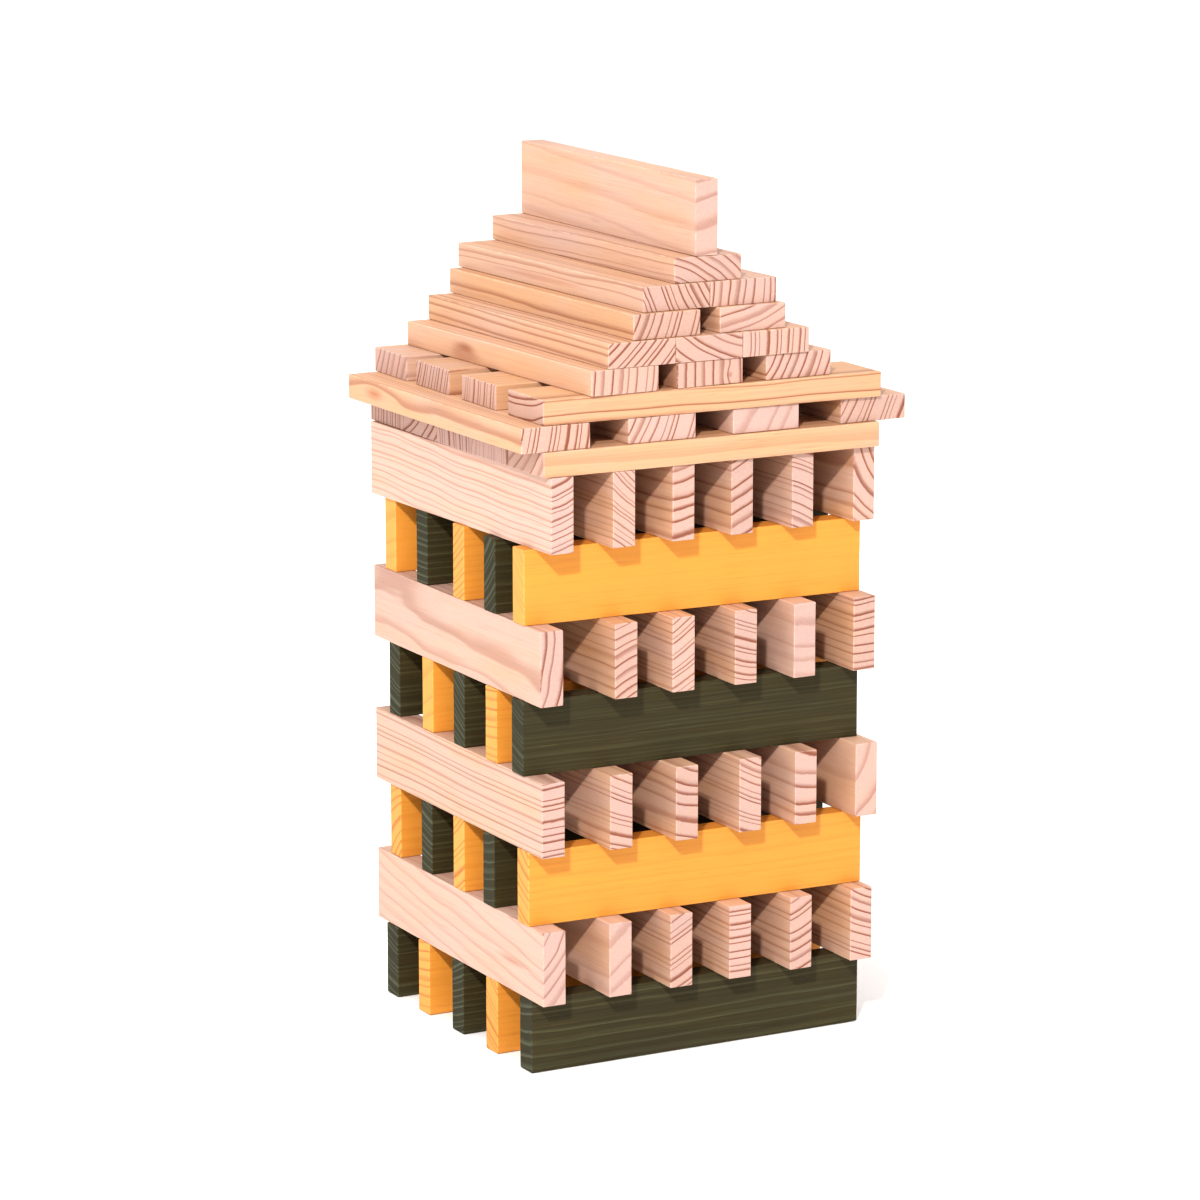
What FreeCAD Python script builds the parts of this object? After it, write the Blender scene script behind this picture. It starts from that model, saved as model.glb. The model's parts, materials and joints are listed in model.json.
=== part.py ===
import FreeCAD, Part

import os
from collections import namedtuple

from Sketcher import Constraint

# A tabletop tower stacked from identical flat planks, with nothing fixed to anything else.
# Eight wall courses stand on their long narrow edges. On them lie a deck of flat planks, the
# eaves and a cross course, then ever narrower roof courses, and one ridge plank on its edge.
# Axes: +X runs along the front face to the right, +Y goes back, +Z is up.
# The origin is on the table, in the middle of the tower's footprint.
# Lengths are in millimetres and angles in degrees.

# Driving dimensions. A plank is five times as long as wide, and three times as wide as thick.
PLANK_LENGTH = 117.0
PLANK_WIDTH = PLANK_LENGTH / 5
PLANK_THICKNESS = PLANK_WIDTH / 3
EDGE_CHAMFER = 0.3
SIDE_GAP = 0.1

# The eaves reach 2 mm further to the right than to the left, and the top of the roof is
# pushed 5 mm back, so the tower's middle stands a little left and in front of its footprint's.
TOWER_X = -1.0
TOWER_Y = -2.0

# Spacing from one plank to the next in a course.
LONG_WALL_PITCH = PLANK_WIDTH
CROSS_WALL_PITCH = (PLANK_LENGTH - PLANK_THICKNESS) / 5
TOUCHING_PITCH = PLANK_WIDTH + SIDE_GAP
EAVES_PITCH = (PLANK_LENGTH + 2 * PLANK_THICKNESS - PLANK_WIDTH) / 3
CROSS_PITCH = (PLANK_LENGTH - PLANK_WIDTH) / 3
OPEN_PITCH = PLANK_WIDTH + PLANK_THICKNESS

# Each course is spread evenly about the tower's middle, and then stands as a hand left it:
# shift is how far its planks are pushed along their length, yaw turns the whole course about
# the tower's middle, and nudges move each plank sideways, one number for each plank, counted
# from the front or from the left.
Course = namedtuple("Course", "name runs_along on_edge pitch shift yaw nudges")

COURSES = (
    Course("base", "X", True, LONG_WALL_PITCH, 0.0, 0.0, (1.5, 1.0, 1.0, 1.5, 1.0)),
    Course("wall_2", "Y", True, CROSS_WALL_PITCH, 0.0, -0.5, (0.0, 1.0, 0.5, -0.5, -0.5, -0.5)),
    Course("wall_3", "X", True, LONG_WALL_PITCH, 0.0, -1.2, (0.0, 0.5, -1.5, -1.5, -1.5)),
    Course("wall_4", "Y", True, CROSS_WALL_PITCH, -0.5, -0.5, (-0.5, 1.0, 2.0, 2.5, 0.5, 0.5)),
    Course("wall_5", "X", True, LONG_WALL_PITCH, -0.5, -1.4, (2.0, -3.0, -3.5, -4.0, -2.5)),
    Course("wall_6", "Y", True, CROSS_WALL_PITCH, 0.0, -0.6, (-0.5, 3.0, 1.0, 1.0, 0.0, -0.5)),
    Course("wall_7", "X", True, LONG_WALL_PITCH, -0.5, -1.2, (1.5, -2.0, -3.5, -0.5, -0.5)),
    Course("wall_8", "Y", True, CROSS_WALL_PITCH, 1.0, 1.5, (0.5, 0.0, -1.0, -2.0, -2.0, -1.5)),
    Course("deck", "X", False, TOUCHING_PITCH, 0.0, -0.2, (0.0, 1.5, 1.5, 1.5, 1.5)),
    Course("eaves", "Y", False, EAVES_PITCH, 1.0, 0.4, (0.0, 0.0, 0.0, 2.0)),
    Course("cross", "X", False, CROSS_PITCH, 1.0, -0.7, (0.5, 1.0, 2.0, 1.0)),
    Course("roof_1", "Y", False, OPEN_PITCH, 1.0, 1.7, (-1.5, -3.0, -2.5)),
    Course("roof_2", "Y", False, TOUCHING_PITCH, 0.5, 0.8, (-2.5, -2.5, -2.5)),
    Course("roof_3", "Y", False, OPEN_PITCH, 2.0, 1.3, (-1.5, -2.5)),
    Course("roof_4", "Y", False, TOUCHING_PITCH, 4.0, 1.5, (-1.0, -1.0)),
    Course("roof_5", "Y", False, TOUCHING_PITCH, 5.0, 0.7, (-0.5,)),
    Course("ridge", "Y", True, CROSS_WALL_PITCH, 5.0, -1.0, (0.5,)),
)

# Planks that share a sub-part, by course and by number, counted from one. Every other plank
# is a sub-part of its own. The base is three green planks with two yellow ones between them.
SHARED = {
    "base": {"base_green_planks": (1, 3, 5), "base_yellow_planks": (2, 4)},
    "deck": {"deck_planks_2_to_4": (2, 3, 4)},
    "eaves": {"eaves_planks_2_and_3": (2, 3)},
    "cross": {"cross_planks_2_and_3": (2, 3)},
    "roof_2": {"roof_2_planks": (1, 2, 3)},
}


def make_sheet(doc):
    """The spreadsheet of the plank's sizes, which every plank is bound to."""
    sheet = doc.addObject("Spreadsheet::Sheet", "Sizes")
    cells = {
        "plank_length": PLANK_LENGTH,
        "plank_width": PLANK_WIDTH,
        "plank_thickness": PLANK_THICKNESS,
        "edge_chamfer": EDGE_CHAMFER,
    }
    for row, (alias, value) in enumerate(cells.items(), start=1):
        sheet.set(f"A{row}", alias)
        sheet.set(f"B{row}", str(round(value, 4)))
        sheet.setAlias(f"B{row}", alias)
    doc.recompute()
    return sheet


def origin_plane(body, role):
    """One of a body's own origin planes, found by its role."""
    return next(feature for feature in body.Origin.OriginFeatures if feature.Role == role)


def make_outline(body):
    """A sketch of a plank's wide face, length along X and width along Y, about its middle."""
    sketch = body.newObject("Sketcher::SketchObject", body.Name + "_outline")
    sketch.AttachmentSupport = (origin_plane(body, "XY_Plane"), [""])
    sketch.MapMode = "FlatFace"
    x = PLANK_LENGTH / 2
    y = PLANK_WIDTH / 2
    corners = [FreeCAD.Vector(*xy, 0) for xy in ((-x, -y), (x, -y), (x, y), (-x, y))]
    for start, end in zip(corners, corners[1:] + corners[:1]):
        sketch.addGeometry(Part.LineSegment(start, end), False)
    for side in range(4):
        sketch.addConstraint(Constraint("Coincident", side, 2, (side + 1) % 4, 1))
    for side in (0, 2):
        sketch.addConstraint(Constraint("Horizontal", side))
    for side in (1, 3):
        sketch.addConstraint(Constraint("Vertical", side))
    sketch.addConstraint(Constraint("Symmetric", 0, 1, 1, 2, -1, 1))
    length = sketch.addConstraint(Constraint("DistanceX", 0, 1, 0, 2, PLANK_LENGTH))
    width = sketch.addConstraint(Constraint("DistanceY", 1, 1, 1, 2, PLANK_WIDTH))
    sketch.setExpression(f"Constraints[{length}]", "Sizes.plank_length")
    sketch.setExpression(f"Constraints[{width}]", "Sizes.plank_width")
    return sketch


def make_plank(doc, name):
    """A sawn plank with lightly chamfered edges, lying flat with its middle over the origin."""
    body = doc.addObject("PartDesign::Body", name)
    pad = body.newObject("PartDesign::Pad", name + "_board")
    pad.Profile = make_outline(body)
    pad.setExpression("Length", "Sizes.plank_thickness")
    chamfer = body.newObject("PartDesign::Chamfer", name + "_edges")
    chamfer.Base = (pad, [""])
    chamfer.UseAllEdges = True
    chamfer.setExpression("Size", "Sizes.edge_chamfer")
    body.Tip = chamfer
    return body


def plank_placement(course, number, floor):
    """Where a plank stands: in its course, turned on edge if need be, then turned with it."""
    face = PLANK_THICKNESS if course.on_edge else PLANK_WIDTH
    height = PLANK_WIDTH if course.on_edge else PLANK_THICKNESS
    span = (len(course.nudges) - 1) * course.pitch + face
    across = (number - 1) * course.pitch + face / 2 - span / 2 + course.nudges[number - 1]
    up = FreeCAD.Vector(0, 0, 1)
    if course.on_edge:
        pose = FreeCAD.Placement(
            FreeCAD.Vector(0, face / 2, height / 2),
            FreeCAD.Rotation(FreeCAD.Vector(1, 0, 0), 90),
        )
    else:
        pose = FreeCAD.Placement()
    if course.runs_along == "X":
        spot = FreeCAD.Placement(FreeCAD.Vector(course.shift, across, floor), FreeCAD.Rotation())
    else:
        quarter_turn = FreeCAD.Rotation(up, 90)
        spot = FreeCAD.Placement(FreeCAD.Vector(across, course.shift, floor), quarter_turn)
    middle = FreeCAD.Vector(TOWER_X, TOWER_Y, 0)
    turned = FreeCAD.Placement(middle, FreeCAD.Rotation(up, course.yaw))
    return turned * spot * pose


def make_course(doc, course, floor):
    """One course's planks. Returns its sub-parts: single planks, and planks that share one."""
    planks = {}
    for number in range(1, len(course.nudges) + 1):
        plank = make_plank(doc, f"{course.name}_plank_{number}")
        plank.Placement = plank_placement(course, number, floor)
        planks[number] = plank
    sub_parts = []
    for name, numbers in SHARED.get(course.name, {}).items():
        shared = doc.addObject("Part::Compound", name)
        shared.Links = [planks.pop(number) for number in numbers]
        sub_parts.append(shared)
    return sub_parts + list(planks.values())


def make_tower(doc):
    """Every course, each standing on the one below. Returns the sub-parts."""
    sub_parts = []
    floor = 0.0
    for course in COURSES:
        sub_parts += make_course(doc, course, floor)
        floor += PLANK_WIDTH if course.on_edge else PLANK_THICKNESS
    return sub_parts


def check(doc, sub_parts):
    """Stop if an object failed to recompute, or a sub-part has no valid solid."""
    for thing in doc.Objects:
        if "Invalid" in thing.State or "Error" in thing.State:
            raise RuntimeError(f"{thing.Label} failed to recompute: {thing.State}")
    for sub_part in sub_parts:
        shape = sub_part.Shape
        if shape.isNull() or not shape.isValid() or not shape.Solids:
            raise RuntimeError(f"{sub_part.Label} has no valid solid")


def main():
    doc = FreeCAD.newDocument("plank_tower")
    make_sheet(doc)
    sub_parts = make_tower(doc)
    doc.recompute()
    check(doc, sub_parts)
    os.makedirs("parts", exist_ok=True)
    for sub_part in sub_parts:
        sub_part.Shape.exportStep(f"parts/{sub_part.Label}.step")
    print(len(sub_parts), "sub-parts,", sum(len(part.Shape.Solids) for part in sub_parts), "solids")


main()
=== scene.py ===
import json
import math
import random

import bmesh
import bpy
import numpy as np
from mathutils import Matrix, Vector, noise


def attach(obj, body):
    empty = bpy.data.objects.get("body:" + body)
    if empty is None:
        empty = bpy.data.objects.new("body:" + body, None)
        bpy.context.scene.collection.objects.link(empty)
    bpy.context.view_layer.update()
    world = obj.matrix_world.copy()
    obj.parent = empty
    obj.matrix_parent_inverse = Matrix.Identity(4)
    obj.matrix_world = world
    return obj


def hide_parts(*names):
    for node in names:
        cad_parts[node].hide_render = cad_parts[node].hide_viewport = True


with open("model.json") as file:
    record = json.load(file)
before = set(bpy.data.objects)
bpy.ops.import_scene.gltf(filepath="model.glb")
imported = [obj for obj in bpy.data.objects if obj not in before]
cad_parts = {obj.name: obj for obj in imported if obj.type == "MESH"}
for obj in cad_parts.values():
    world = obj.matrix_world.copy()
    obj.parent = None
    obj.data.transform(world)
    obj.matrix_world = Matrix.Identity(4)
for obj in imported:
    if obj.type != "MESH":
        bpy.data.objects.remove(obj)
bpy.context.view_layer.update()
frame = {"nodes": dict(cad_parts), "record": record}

# A tabletop tower of loose wooden planks. Every plank is rebuilt here as a board of its own, in
# the place of its CAD solid, with eased and slightly worn edges and its own growth rings.
# Lengths are in metres, apart from the grain's, which are in millimetres.
MM = 0.001

# A board's edges are rounded by EASE, and here and there rubbed away by about WEAR more. Its faces
# are cut into pieces about STATION long. It is smaller than its solid by AIR each way, so that
# boards that touch don't clash. A face near a board's end, within END_BAND, is end grain.
EASE = 0.32 * MM
WEAR = 0.1 * MM
STATION = 6.0 * MM
AIR = 0.03 * MM
END_BAND = 1.2 * EASE

# The rubbing comes and goes over RUB_LENGTH, and CHIP_SHARE as strongly over CHIP_LENGTH.
RUB_LENGTH = 7 * MM
CHIP_LENGTH = 1.8 * MM
CHIP_SHARE = 0.6

# Boards inside the CAD nodes that hold several, from the front or from the left.
BOARDS_IN = {
    "base_green_planks": (1, 3, 5),
    "base_yellow_planks": (2, 4),
    "deck_planks_2_to_4": (2, 3, 4),
    "eaves_planks_2_and_3": (2, 3),
    "cross_planks_2_and_3": (2, 3),
    "roof_2_planks": (1, 2, 3),
}

# How a board was sawn from the tree, seen end on from its near end:
# slope    the rings' slope at the middle of the end, in degrees, rising to the right
# spacing  from one ring to the next, mm
# pith     how far away the tree's centre is, mm: up and to the left, or down and right if below 0
# bold     how strongly the late wood shows, 1 for a usual board
# warm     from -1, pink and pale, to 1, yellow and orange
# lean     how far the rings climb along the board towards its near end, mm in mm
# wave     how far they wander, mm
GRAIN_KEYS = ("slope", "spacing", "pith", "bold", "warm", "lean", "wave")
GRAIN = {
    "wall_8_plank_1": (18, 2.0, 70, 0.9, -0.7, -0.03, 1.6),
    "wall_8_plank_2": (-38, 1.65, 80, 0.8, 0.2, 0.0, 0.6),
    "wall_8_plank_3": (8, 4.2, 28, 0.9, 0.1, 0.0, 1.0),
    "wall_8_plank_4": (26, 3.7, 60, 0.9, 0.0, 0.0, 0.7),
    "wall_8_plank_5": (-22, 2.3, -55, 0.9, -0.2, 0.0, 0.7),
    "wall_8_plank_6": (-52, 3.4, 30, 0.8, 0.2, 0.0, 0.7),
    "wall_6_plank_1": (80, 3.3, 40, 0.9, -0.5, -0.02, 1.4),
    "wall_6_plank_2": (24, 2.6, -50, 0.9, 0.2, 0.0, 0.8),
    "wall_6_plank_3": (33, 1.9, 90, 0.9, 0.1, 0.0, 0.5),
    "wall_6_plank_4": (-14, 2.0, 60, 0.9, 0.0, 0.0, 0.7),
    "wall_6_plank_5": (-6, 6.0, 60, 0.3, -0.6, 0.0, 1.0),
    "wall_6_plank_6": (2, 2.6, 90, 1.0, 0.2, 0.0, 0.6),
    "wall_4_plank_1": (4, 2.35, 120, 1.2, -0.4, 0.0, 0.5),
    "wall_4_plank_2": (-20, 2.3, 60, 0.9, 0.0, 0.0, 0.7),
    "wall_4_plank_3": (-14, 3.9, 30, 0.8, 0.1, 0.0, 1.0),
    "wall_4_plank_4": (-22, 2.1, 50, 0.9, -0.1, 0.0, 0.6),
    "wall_4_plank_5": (-12, 4.6, 24, 0.8, -0.1, 0.0, 1.2),
    "wall_4_plank_6": (60, 7.0, 40, 0.35, 0.0, 0.0, 1.0),
    "wall_2_plank_1": (48, 3.4, 60, 0.5, -0.6, -0.12, 1.4),
    "wall_2_plank_2": (40, 6.0, 60, 0.3, -0.3, 0.0, 1.0),
    "wall_2_plank_3": (28, 2.3, 60, 0.9, 0.0, 0.0, 0.6),
    "wall_2_plank_4": (0, 2.3, 80, 1.0, -0.1, 0.0, 0.5),
    "wall_2_plank_5": (24, 2.9, 45, 0.9, 0.0, 0.0, 0.8),
    "wall_2_plank_6": (-24, 2.4, 50, 1.0, 0.1, 0.0, 0.6),
    "deck_plank_1": (44, 3.4, 60, 0.6, 0.7, 0.004, 0.6),
    "deck_plank_2": (88, 2.6, 60, 0.4, -0.2, 0.0, 0.8),
    "deck_plank_3": (96, 2.3, 70, 0.9, -0.4, 0.0, 0.7),
    "deck_plank_4": (40, 3.2, 45, 1.1, 0.1, 0.0, 0.7),
    "deck_plank_5": (92, 2.0, 80, 1.1, 0.1, 0.0, 0.5),
    "eaves_plank_1": (80, 2.2, 60, 1.2, 0.5, 0.0, 0.35),
    "eaves_plank_2": (66, 2.6, 60, 0.9, -0.3, 0.0, 0.8),
    "eaves_plank_3": (60, 6.0, 60, 0.3, -0.6, 0.0, 1.0),
    "eaves_plank_4": (64, 2.4, 60, 0.9, 0.1, 0.0, 0.8),
    "cross_plank_1": (8, 2.9, 40, 1.2, 0.9, 0.004, 0.9),
    "cross_plank_2": (80, 2.3, 70, 0.8, 0.6, 0.0, 0.6),
    "cross_plank_3": (68, 1.9, 70, 1.1, 0.4, 0.0, 0.6),
    "cross_plank_4": (66, 3.4, 60, 0.6, -0.2, 0.0, 0.8),
    "roof_1_plank_1": (84, 2.9, 60, 0.8, 0.3, 0.0, 0.8),
    "roof_1_plank_2": (92, 3.2, 60, 0.9, 0.4, 0.0, 0.8),
    "roof_1_plank_3": (64, 2.7, 50, 1.0, 0.0, 0.0, 0.8),
    "roof_2_plank_1": (44, 2.1, 90, 1.5, 0.2, 0.0, 0.4),
    "roof_2_plank_2": (-28, 3.0, 40, 0.9, 0.2, 0.0, 0.8),
    "roof_2_plank_3": (90, 2.3, 70, 0.9, 0.1, 0.0, 0.6),
    "roof_3_plank_1": (70, 2.6, 60, 1.0, 0.5, 0.0, 0.5),
    "roof_3_plank_2": (20, 3.0, 60, 0.7, 0.0, 0.0, 0.7),
    "roof_4_plank_1": (-60, 2.2, 50, 1.2, 0.0, 0.012, 0.6),
    "roof_4_plank_2": (84, 2.9, 60, 0.9, 0.0, 0.0, 0.8),
    "roof_5_plank_1": (-34, 2.4, -40, 0.8, -0.1, 0.0, 0.8),
    "ridge_plank_1": (8, 6.5, 60, 0.35, -0.1, -0.05, 1.2),
    "wall_7_plank_1": (-40, 2.6, 60, 0.35, 0.0, 0.0, 0.6),
    "wall_7_plank_2": (45, 2.2, 70, 0.9, 0.0, 0.0, 0.4),
    "wall_7_plank_3": (35, 2.0, 80, 0.9, 0.0, 0.0, 0.4),
    "wall_7_plank_4": (0, 2.3, 90, 1.0, 0.0, 0.0, 0.3),
    "wall_7_plank_5": (20, 6.0, 60, 0.3, 0.0, 0.0, 0.6),
    "wall_5_plank_1": (-20, 2.2, 60, 0.5, 0.0, 0.0, 0.7),
    "wall_5_plank_2": (4, 2.9, 60, 0.8, 0.0, 0.0, 0.5),
    "wall_5_plank_3": (-30, 1.9, 70, 1.0, 0.0, 0.0, 0.4),
    "wall_5_plank_4": (30, 6.0, 60, 0.3, 0.0, 0.0, 0.6),
    "wall_5_plank_5": (-18, 2.3, 60, 0.9, 0.0, 0.0, 0.5),
    "wall_3_plank_1": (-30, 3.2, 34, 0.8, 0.0, 0.0, 0.8),
    "wall_3_plank_2": (10, 3.0, 60, 0.5, 0.0, 0.0, 0.6),
    "wall_3_plank_3": (34, 2.6, 70, 0.9, 0.0, 0.0, 0.4),
    "wall_3_plank_4": (-15, 2.2, 70, 0.9, 0.0, 0.0, 0.4),
    "wall_3_plank_5": (40, 3.2, -30, 0.8, 0.0, 0.0, 0.8),
    "base_plank_1": (4, 3.9, 60, 0.85, 0.0, 0.004, 1.3),
    "base_plank_2": (-35, 2.5, 70, 0.8, 0.0, 0.0, 0.5),
    "base_plank_3": (20, 1.9, 70, 1.0, 0.0, 0.0, 0.4),
    "base_plank_4": (10, 3.0, 60, 0.8, 0.0, 0.0, 0.6),
    "base_plank_5": (-15, 2.3, 60, 0.9, 0.0, 0.0, 0.4),
}

# Knots and resin streaks: where each is, along, across and through the board from its middle,
# and half its length, width and depth, in mm.
MARKS = {
    "wall_2_plank_1": ((38.0, -2.0, 4.0), (14.0, 1.6, 3.0)),
    "roof_1_plank_1": ((-20.0, -11.7, 0.5), (7.0, 4.0, 2.2)),
    "roof_4_plank_1": ((-8.0, -11.7, -1.0), (40.0, 2.0, 1.4)),
    "roof_1_plank_2": ((58.5, 7.0, -1.0), (3.0, 1.5, 1.5)),
    "eaves_plank_1": ((-40.0, -11.7, 0.0), (9.0, 3.0, 3.0)),
}
NO_MARK = ((0.0, 0.0, 999.0), (1.0, 1.0, 1.0))

# How fine each noise in the wood is, in grains per mm, along, across and through a board.
WANDER_SCALE = (0.016, 0.045, 0.045)
FRAY_SCALE = (0.02, 0.5, 0.5)
FIBRE_SCALE = (0.02, 2.0, 2.0)
CLOUD_SCALE = (0.02, 0.09, 0.09)
CANAL_SCALE = (0.07, 4.5, 4.5)
PORE_SCALE = (7.0, 7.0, 7.0)
WORN_SCALE = (0.35, 0.9, 0.9)
SAW_SCALE = (1.1, 0.05, 0.05)

# Growth rings: what moves them for each mm of a board's wave, how unevenly far apart and how
# frayed they are, in rings, and how far off they bend around a mark, in half sizes of the mark.
WANDER_GAIN = 4.0
UNEVENNESS = 1.5
FRAY = 0.09
BEND_REACH = 2.5

# Where in a ring the late wood starts, is full, starts to fade and ends, from 0 to 1.
LATE_START, LATE_FULL, LATE_FADE, LATE_END = 0.5, 0.9, 0.93, 1.0
LATE_CURVE = 1.6

# How much of each effect the wood's colour takes, where 1 is all of it.
CLOUD_WARMTH = 1.2
CLOUD_SHADE = 0.16
END_TINT = 0.65
PORE_SHADE = 0.3
WORN_TINT = 0.3
CANALS_ON_ENDS = 0.15
MARK_COLOUR = (0.72, 0.5, 0.42, 1.0)

# How high the surface's relief is, and how strongly it shows.
RELIEF_HEIGHT = 0.12 * MM
RELIEF_STRENGTH = 0.35


# ---- boards


def split_solids(node):
    """The corners of each solid in a CAD node, as arrays, front to back or left to right."""
    bm = bmesh.new()
    bm.from_mesh(frame["nodes"][node].data)
    bmesh.ops.remove_doubles(bm, verts=bm.verts, dist=0.01 * MM)
    waiting = set(bm.verts)
    solids = []
    while waiting:
        found = {waiting.pop()}
        to_visit = list(found)
        while to_visit:
            vert = to_visit.pop()
            for edge in vert.link_edges:
                other = edge.other_vert(vert)
                if other in waiting:
                    waiting.discard(other)
                    found.add(other)
                    to_visit.append(other)
        solids.append(np.array([vert.co for vert in found]))
    bm.free()
    return sorted(solids, key=lambda points: tuple(np.round(points.mean(0), 3)[:2].tolist()))


def board_pose(points):
    """A board's matrix and its length, width and thickness, from its solid's corners.
    Its own X runs along it to its near end, Y across its wide face and Z through it."""
    spread = points - points.mean(0)
    along = Vector(np.linalg.eigh(spread.T @ spread)[1][:, 2])
    along.z = 0.0
    along.normalize()
    if along.x + along.y > 0:
        along = -along
    up = Vector((0, 0, 1))
    side = up.cross(along)
    axes = Matrix((along, side, up))
    reach = points @ np.array(axes).T
    low, high = reach.min(0), reach.max(0)
    if high[2] - low[2] > high[1] - low[1]:
        axes = Matrix((along, up, along.cross(up)))
        reach = points @ np.array(axes).T
        low, high = reach.min(0), reach.max(0)
    turn = axes.transposed()
    middle = turn @ Vector((low + high) / 2)
    return Matrix.Translation(middle) @ turn.to_4x4(), high - low - AIR


def is_corner(edge):
    """True where two of a plain box's sides meet."""
    return len(edge.link_faces) == 2 and edge.calc_face_angle(0.0) > 1.0


def board_mesh(name, size, rng):
    """A board about its own middle: sawn faces, eased edges worn a little unevenly."""
    bm = bmesh.new()
    bmesh.ops.create_cube(bm, size=1.0)
    bmesh.ops.scale(bm, vec=size, verts=bm.verts)
    for axis in (0, 1):
        cuts = int(size[axis] / STATION)
        for cut in range(1, cuts):
            spot = Vector((0, 0, 0))
            spot[axis] = size[axis] * (cut / cuts - 0.5)
            normal = Vector((axis == 0, axis == 1, 0))
            every = bm.verts[:] + bm.edges[:] + bm.faces[:]
            bmesh.ops.bisect_plane(bm, geom=every, plane_co=spot, plane_no=normal)
    corners = [edge for edge in bm.edges if is_corner(edge)]
    eased = bmesh.ops.bevel(bm, geom=corners, offset=EASE, segments=3, profile=0.5, affect="EDGES")
    worn = {vert for face in eased["faces"] for vert in face.verts}
    shift = Vector([rng.uniform(-50, 50) for _ in range(3)])
    bm.normal_update()
    for vert in worn:
        rub = noise.noise(vert.co / RUB_LENGTH + shift)
        chip = noise.noise(vert.co / CHIP_LENGTH + shift)
        vert.co -= vert.normal * WEAR * max(0.0, rub + CHIP_SHARE * chip)
    bm.faces.index_update()
    eased_faces = {face.index for face in eased["faces"]}
    mesh = bpy.data.meshes.new(name)
    bm.to_mesh(mesh)
    bm.free()
    end_grain = mesh.attributes.new("end_grain", "FLOAT", "FACE")
    edge_wear = mesh.attributes.new("edge_wear", "FLOAT", "FACE")
    side_reach = size[0] / 2 - END_BAND
    for face in mesh.polygons:
        end_grain.data[face.index].value = float(abs(face.center.x) > side_reach)
        edge_wear.data[face.index].value = float(face.index in eased_faces)
    mesh.shade_smooth()
    return mesh


def ring_centre(name, on_edge, slope, pith):
    """Where the tree's centre passes the board's middle, across and through it, in mm."""
    angle = math.radians(slope + 90)
    right = pith * math.cos(angle)
    up = pith * math.sin(angle)
    return (up, -right) if on_edge else (right, up)


def guess_grain(rng):
    """A usual board's grain, for a board that has no row in GRAIN."""
    return (
        rng.uniform(-80, 90),
        rng.uniform(1.9, 3.4),
        rng.choice((-1, 1)) * rng.uniform(30, 90),
        rng.uniform(0.6, 1.1),
        rng.uniform(-0.6, 0.6),
        rng.uniform(-0.04, 0.04),
        rng.uniform(0.4, 1.6),
    )


def make_board(name, node, body, slot, points, materials):
    """One board in its CAD solid's place, with what its wood shader reads from it."""
    rng = random.Random(name)
    matrix, size = board_pose(points)
    board = bpy.data.objects.new(name + "_board", board_mesh(name + "_board", size, rng))
    bpy.context.scene.collection.objects.link(board)
    board.matrix_world = matrix
    board.data.materials.append(materials[slot])
    smooth = board.modifiers.new("flat faces", "WEIGHTED_NORMAL")
    smooth.weight = 100
    guessed = guess_grain(rng)
    grain = dict(zip(GRAIN_KEYS, GRAIN.get(name, guessed)))
    on_edge = abs((matrix.to_3x3() @ Vector((0, 1, 0))).z) > 0.5
    centre = ring_centre(name, on_edge, grain["slope"], grain["pith"])
    board["pith"] = (centre[0], centre[1], grain["spacing"])
    board["drift"] = (grain["lean"], rng.uniform(-0.02, 0.02), grain["wave"])
    board["tone"] = (grain["bold"], grain["warm"], rng.uniform(0.94, 1.04))
    board["origin"] = tuple(rng.uniform(-90, 90) for _ in range(3))
    board["mark_at"], board["mark_size"] = MARKS.get(name, NO_MARK)
    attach(board, body)
    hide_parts(node)
    return board


def board_names(node):
    """The names of the boards that a CAD node holds."""
    if node not in BOARDS_IN:
        return [node]
    course = node[: node.index("_plank")].replace("_green", "").replace("_yellow", "")
    return [f"{course}_plank_{number}" for number in BOARDS_IN[node]]


def make_boards(materials):
    """Every board of the tower."""
    slots = {part["node"]: part["material_slot"] for part in frame["record"]["subparts"]}
    for body, nodes in frame["record"]["behaviour"]["bodies"].items():
        for node in nodes:
            for name, points in zip(board_names(node), split_solids(node)):
                make_board(name, node, body, slots[node], points, materials)


# ---- wood


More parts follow.
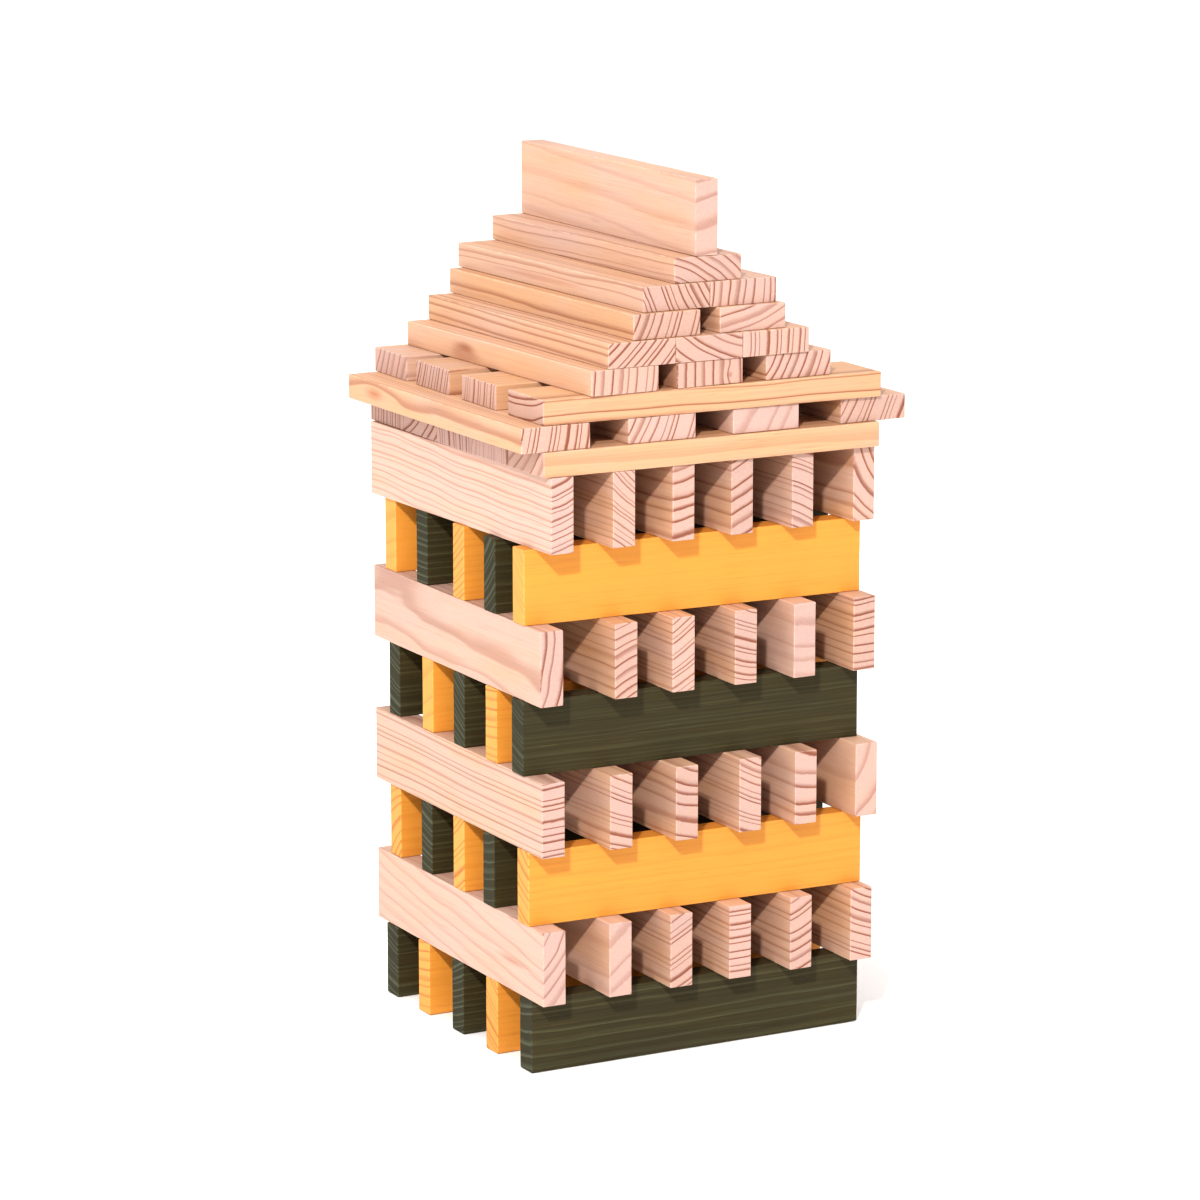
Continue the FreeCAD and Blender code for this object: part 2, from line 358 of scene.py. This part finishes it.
class Graph:
    """A material's nodes, made and joined in one line each."""

    def __init__(self, tree):
        self.tree = tree

    def node(self, kind, settings=None, **inputs):
        """A node with these settings, and with these inputs set or linked, by name."""
        made = self.tree.nodes.new(kind)
        for key, value in (settings or {}).items():
            setattr(made, key, value)
        for key, value in inputs.items():
            self.feed(made.inputs[key.replace("_", " ")], value)
        return made

    def feed(self, socket, value):
        """Link an output to a socket, or set the socket to a plain value."""
        if isinstance(value, bpy.types.NodeSocket):
            self.tree.links.new(value, socket)
        else:
            socket.default_value = value

    def math(self, operation, first, second=0.0, third=0.0):
        made = self.node("ShaderNodeMath", {"operation": operation})
        for socket, value in zip(made.inputs, (first, second, third)):
            self.feed(socket, value)
        return made.outputs[0]

    def vector(self, operation, first, second=(0, 0, 0)):
        made = self.node("ShaderNodeVectorMath", {"operation": operation})
        self.feed(made.inputs[0], first)
        self.feed(made.inputs[1], second)
        return made.outputs[0]

    def combine(self, x, y, z):
        return self.node("ShaderNodeCombineXYZ", X=x, Y=y, Z=z).outputs[0]

    def split(self, vector):
        return self.node("ShaderNodeSeparateXYZ", Vector=vector).outputs

    def own(self, name):
        """A value that the board's object carries."""
        return self.node("ShaderNodeAttribute", {"attribute_type": "OBJECT", "attribute_name": name})

    def surface(self, name):
        """A value that the board's mesh carries."""
        return self.node("ShaderNodeAttribute", {"attribute_name": name}).outputs["Fac"]

    def noise(self, place, scale, detail=2.0, roughness=0.5):
        """Noise whose grains are 1 / scale mm long in each direction, as a factor and a colour."""
        stretched = self.vector("MULTIPLY", place, scale)
        return self.node(
            "ShaderNodeTexNoise", Vector=stretched, Scale=1.0, Detail=detail, Roughness=roughness
        ).outputs

    def ramp(self, value, low, high, to_low=0.0, to_high=1.0):
        """A smooth step from one value to another."""
        made = self.node("ShaderNodeMapRange", {"interpolation_type": "SMOOTHSTEP"})
        for socket, number in zip(made.inputs, (value, low, high, to_low, to_high)):
            self.feed(socket, number)
        return made.outputs["Result"]

    def mix(self, factor, first, second, blend="MIX"):
        """Two colours mixed."""
        made = self.node("ShaderNodeMix", {"data_type": "RGBA", "blend_type": blend})
        self.feed(made.inputs[0], factor)
        self.feed(made.inputs[6], first)
        self.feed(made.inputs[7], second)
        return made.outputs[2]


def srgb(red, green, blue):
    """A colour given as 0 to 255 on a screen, as the linear one that a shader takes."""
    channels = [value / 255 for value in (red, green, blue)]
    linear = [c / 12.92 if c <= 0.04045 else ((c + 0.055) / 1.055) ** 2.4 for c in channels]
    return (*linear, 1.0)


def growth_rings(graph, place):
    """How far each point is into the late wood of its ring, 0 to 1, and the ring's own strength."""
    pith = graph.split(graph.own("pith").outputs["Vector"])
    drift = graph.split(graph.own("drift").outputs["Vector"])
    origin = graph.own("origin").outputs["Vector"]
    own_place = graph.vector("ADD", place, origin)
    x, y, z = graph.split(place)
    wander = graph.noise(own_place, WANDER_SCALE, 2.0, 0.45)[1]
    wander = graph.vector("SUBTRACT", wander, (0.5, 0.5, 0.5))
    wander = graph.split(graph.vector("MULTIPLY", wander, graph.combine(0.0, drift[2], drift[2])))
    across = graph.math("SUBTRACT", y, pith[0])
    across = graph.math("SUBTRACT", across, graph.math("MULTIPLY", x, drift[0]))
    across = graph.math("ADD", across, graph.math("MULTIPLY", wander[1], WANDER_GAIN))
    through = graph.math("SUBTRACT", z, pith[1])
    through = graph.math("SUBTRACT", through, graph.math("MULTIPLY", x, drift[1]))
    through = graph.math("ADD", through, graph.math("MULTIPLY", wander[2], WANDER_GAIN))
    squares = graph.math("MULTIPLY", across, across)
    radius = graph.math("SQRT", graph.math("MULTIPLY_ADD", through, through, squares))
    radius = graph.math("ADD", radius, mark_nearness(graph, place, BEND_REACH))
    count = graph.math("DIVIDE", radius, pith[2])
    uneven = graph.node(
        "ShaderNodeTexNoise", {"noise_dimensions": "1D"}, W=count, Scale=0.55, Detail=1.0
    )
    count = graph.math("ADD", count, graph.math("MULTIPLY", uneven.outputs[0], UNEVENNESS))
    frayed = graph.noise(own_place, FRAY_SCALE, 2.0)[0]
    count = graph.math("ADD", count, graph.math("MULTIPLY", frayed, FRAY))
    phase = graph.math("FRACT", count)
    rise = graph.ramp(phase, LATE_START, LATE_FULL)
    fall = graph.ramp(phase, LATE_FADE, LATE_END, 1.0, 0.0)
    rise = graph.math("POWER", rise, LATE_CURVE)
    year = graph.node("ShaderNodeTexWhiteNoise", {"noise_dimensions": "1D"})
    graph.feed(year.inputs["W"], graph.math("FLOOR", count))
    strength = graph.math("MULTIPLY_ADD", year.outputs["Value"], 0.5, 0.5)
    return graph.math("MULTIPLY", graph.math("MULTIPLY", rise, fall), strength)


def mark_nearness(graph, place, reach=1.0):
    """1 at the middle of the board's knot or streak, down to 0 at reach times its half size."""
    offset = graph.vector("SUBTRACT", place, graph.own("mark_at").outputs["Vector"])
    offset = graph.vector("DIVIDE", offset, graph.own("mark_size").outputs["Vector"])
    away = graph.node("ShaderNodeVectorMath", {"operation": "LENGTH"})
    graph.feed(away.inputs[0], offset)
    return graph.ramp(away.outputs["Value"], 0.0, reach, 1.0, 0.0)


def make_wood(name, pale, warm, late, end, dash, rings_at, dash_share, wear, mottle, gloss, sheen):
    """Wood with its growth rings, fibres and resin canals, all running through the board.
    pale, warm   early wood's colour on pink boards and on yellow ones
    late         what the late wood's lines multiply it by
    end          the colour that end grain tends to
    dash         what the fine resin canals multiply it by, by dash_share
    rings_at     how strongly the rings show on the sides and on the ends
    wear         the colour of the rubbed edges
    mottle       how much lighter some fibres are than others
    gloss        roughness
    sheen        how strongly the surface mirrors"""
    material = bpy.data.materials.new(name)
    material.use_nodes = True
    graph = Graph(material.node_tree)
    graph.tree.nodes.clear()
    place = graph.node("ShaderNodeTexCoord").outputs["Object"]
    place = graph.vector("MULTIPLY", place, (1 / MM, 1 / MM, 1 / MM))
    own_place = graph.vector("ADD", place, graph.own("origin").outputs["Vector"])
    tone = graph.split(graph.own("tone").outputs["Vector"])
    at_end = graph.surface("end_grain")
    along_side = graph.math("SUBTRACT", 1.0, at_end)

    rings = growth_rings(graph, place)
    fibres = graph.noise(own_place, FIBRE_SCALE, 2.0, 0.5)[0]
    clouds = graph.noise(own_place, CLOUD_SCALE, 3.0)[0]
    canals = graph.noise(own_place, CANAL_SCALE, 1.0)[0]
    canals = graph.ramp(canals, 0.66, 0.74)
    pores = graph.noise(own_place, PORE_SCALE, 3.0, 0.7)[0]

    # Early wood, then the rings and the canals over it.
    cloudy = graph.math("MULTIPLY_ADD", clouds, CLOUD_WARMTH, -CLOUD_WARMTH / 2)
    warmth = graph.math("ADD", graph.math("MULTIPLY_ADD", tone[1], 0.5, 0.5), cloudy)
    colour = graph.mix(graph.ramp(warmth, 0.0, 1.0), pale, warm)
    colour = graph.mix(graph.math("MULTIPLY", at_end, END_TINT), colour, end)
    shown = graph.math("MULTIPLY", rings, tone[0])
    on_ends = rings_at[1] - rings_at[0]
    shown = graph.math("MULTIPLY", shown, graph.math("MULTIPLY_ADD", at_end, on_ends, rings_at[0]))
    late_colour = graph.mix(1.0, colour, (*late, 1.0), "MULTIPLY")
    colour = graph.mix(graph.math("MINIMUM", shown, 1.0), colour, late_colour)
    dash_colour = graph.mix(1.0, colour, (*dash, 1.0), "MULTIPLY")
    canals_here = graph.math("MULTIPLY_ADD", along_side, 1 - CANALS_ON_ENDS, CANALS_ON_ENDS)
    canals = graph.math("MULTIPLY", canals, canals_here)
    colour = graph.mix(graph.math("MULTIPLY", canals, dash_share), colour, dash_colour)

    # The knot or streak, then lighter and darker fibres, clouds and pores, and the worn edges.
    mark = graph.math("MULTIPLY", mark_nearness(graph, place), graph.ramp(fibres, 0.3, 0.6, 0.4))
    colour = graph.mix(mark, colour, graph.mix(1.0, colour, MARK_COLOUR, "MULTIPLY"))
    shade = graph.math("MULTIPLY_ADD", fibres, mottle, 1 - mottle / 2)
    cloud_shade = graph.math("MULTIPLY_ADD", clouds, CLOUD_SHADE, 1 - CLOUD_SHADE / 2)
    shade = graph.math("MULTIPLY", shade, cloud_shade)
    speckle = graph.math("MULTIPLY_ADD", pores, graph.math("MULTIPLY", at_end, PORE_SHADE), 1.0)
    speckle = graph.math("SUBTRACT", speckle, graph.math("MULTIPLY", at_end, PORE_SHADE / 2))
    shade = graph.math("MULTIPLY", graph.math("MULTIPLY", shade, speckle), tone[2])
    colour = graph.mix(1.0, colour, graph.combine(shade, shade, shade), "MULTIPLY")
    worn = graph.noise(own_place, WORN_SCALE, 3.0)[0]
    worn = graph.math("MULTIPLY", graph.surface("edge_wear"), graph.ramp(worn, 0.4, 0.62))
    colour = graph.mix(graph.math("MULTIPLY", worn, WORN_TINT), colour, wear)

    # Late wood and fibres stand up, canals are cut in, and the faces wave faintly.
    relief = graph.math("MULTIPLY_ADD", rings, 0.5, graph.math("MULTIPLY", fibres, 0.6))
    relief = graph.math("SUBTRACT", relief, graph.math("MULTIPLY", canals, 0.5))
    saw = graph.noise(own_place, SAW_SCALE, 1.0)[0]
    relief = graph.math("ADD", relief, graph.math("MULTIPLY", saw, 0.1))
    relief = graph.math("ADD", relief, graph.math("MULTIPLY", pores, at_end))
    bump = graph.node(
        "ShaderNodeBump", Strength=RELIEF_STRENGTH, Distance=RELIEF_HEIGHT, Height=relief
    )
    rough = graph.math("MULTIPLY_ADD", fibres, 0.2, gloss)
    rough = graph.math("ADD", rough, graph.math("MULTIPLY", at_end, 0.12))
    rough = graph.math("SUBTRACT", rough, graph.math("MULTIPLY", rings, 0.08))
    shader = graph.node(
        "ShaderNodeBsdfPrincipled", Base_Color=colour, Roughness=rough, Normal=bump.outputs[0]
    )
    shader.inputs["Specular IOR Level"].default_value = sheen
    graph.node("ShaderNodeOutputMaterial", Surface=shader.outputs[0])
    return material


def make_materials():
    """The three finishes, by the record's slots."""
    return {
        "pine": make_wood(
            "pine",
            pale=srgb(192, 160, 146),
            warm=srgb(190, 148, 114),
            late=(0.46, 0.25, 0.18),
            end=srgb(176, 147, 142),
            dash=(0.6, 0.45, 0.38),
            rings_at=(0.7, 1.5),
            dash_share=0.35,
            wear=srgb(214, 182, 162),
            mottle=0.3,
            gloss=0.46,
            sheen=0.25,
        ),
        "yellow_stain": make_wood(
            "yellow_stain",
            pale=srgb(211, 143, 62),
            warm=srgb(209, 139, 57),
            late=(0.66, 0.5, 0.42),
            end=srgb(206, 149, 80),
            dash=(0.72, 0.58, 0.5),
            rings_at=(0.24, 1.5),
            dash_share=0.4,
            wear=srgb(220, 170, 96),
            mottle=0.16,
            gloss=0.4,
            sheen=0.25,
        ),
        "green_stain": make_wood(
            "green_stain",
            pale=srgb(54, 50, 33),
            warm=srgb(58, 51, 30),
            late=(2.0, 2.4, 2.9),
            end=srgb(46, 46, 32),
            dash=(1.7, 1.8, 1.7),
            rings_at=(0.65, 2.2),
            dash_share=0.6,
            wear=srgb(84, 78, 56),
            mottle=0.9,
            gloss=0.42,
            sheen=0.14,
        ),
    }


# ---- the stage

FLOOR_RADIUS = 30.0
FLOOR_GAP = 0.0002
CAMERA_PLACE = (-0.7181, -1.3092, 0.4472)
CAMERA_DOWN = 11.874
CAMERA_RIGHT = 28.48
CAMERA_LENS = 144.68
LIT_POINT = Vector((0, 0, 0.14))
WORLD_STRENGTH = 0.95


def make_floor():
    """A wide pale floor, just under the tower."""
    bm = bmesh.new()
    bmesh.ops.create_circle(bm, cap_ends=True, segments=96, radius=FLOOR_RADIUS)
    mesh = bpy.data.meshes.new("floor")
    bm.to_mesh(mesh)
    bm.free()
    floor = bpy.data.objects.new("floor", mesh)
    floor.location.z = -FLOOR_GAP
    bpy.context.scene.collection.objects.link(floor)
    material = bpy.data.materials.new("floor")
    material.use_nodes = True
    shader = material.node_tree.nodes["Principled BSDF"]
    shader.inputs["Base Color"].default_value = (0.95, 0.95, 0.95, 1.0)
    shader.inputs["Roughness"].default_value = 0.9
    mesh.materials.append(material)


def make_camera():
    """The camera stands in front and to the left, above the tower's top, and looks a little down.
    Its two angles are in degrees: down from level, and to the right from straight back."""
    data = bpy.data.cameras.new("camera")
    data.lens = CAMERA_LENS
    data.sensor_width = 36.0
    data.clip_start = 0.05
    data.clip_end = 100.0
    camera = bpy.data.objects.new("camera", data)
    camera.location = CAMERA_PLACE
    camera.rotation_euler = (math.radians(90 - CAMERA_DOWN), 0.0, math.radians(-CAMERA_RIGHT))
    bpy.context.scene.collection.objects.link(camera)
    bpy.context.scene.camera = camera


def make_light(name, towards, distance, size, share, colour):
    """A square softbox that shines along a direction, at the tower's middle. share is how much
    of a white surface's full brightness it gives one that faces it."""
    data = bpy.data.lights.new(name, "AREA")
    data.shape = "SQUARE"
    data.size = size
    data.energy = share * math.pi * math.pi * distance**2
    data.color = colour
    light = bpy.data.objects.new(name, data)
    towards = Vector(towards).normalized()
    light.location = LIT_POINT - towards * distance
    light.rotation_euler = towards.to_track_quat("-Z", "Y").to_euler()
    bpy.context.scene.collection.objects.link(light)


def make_lights():
    """A key from the upper left in front, fills from the left and the top, and white all round."""
    make_light(
        "key", towards=(0.77, 1.0, -0.83), distance=3.0, size=0.14, share=0.86, colour=(1.0, 0.96, 0.91)
    )
    make_light(
        "left_fill", towards=(1.0, 0.2, -0.3), distance=2.5, size=1.2, share=0.14, colour=(1.0, 0.96, 0.95)
    )
    make_light(
        "top_fill", towards=(0.0, 0.1, -1.0), distance=2.5, size=1.2, share=0.22, colour=(1.0, 0.98, 0.97)
    )
    world = bpy.data.worlds.new("studio")
    world.use_nodes = True
    background = world.node_tree.nodes["Background"]
    background.inputs["Color"].default_value = (1.0, 1.0, 1.0, 1.0)
    background.inputs["Strength"].default_value = WORLD_STRENGTH
    bpy.context.scene.world = world


def set_view():
    """Plain colours with a little contrast."""
    view = bpy.context.scene.view_settings
    view.view_transform = "Standard"
    view.look = "Medium High Contrast"


make_boards(make_materials())
make_floor()
make_camera()
make_lights()
set_view()
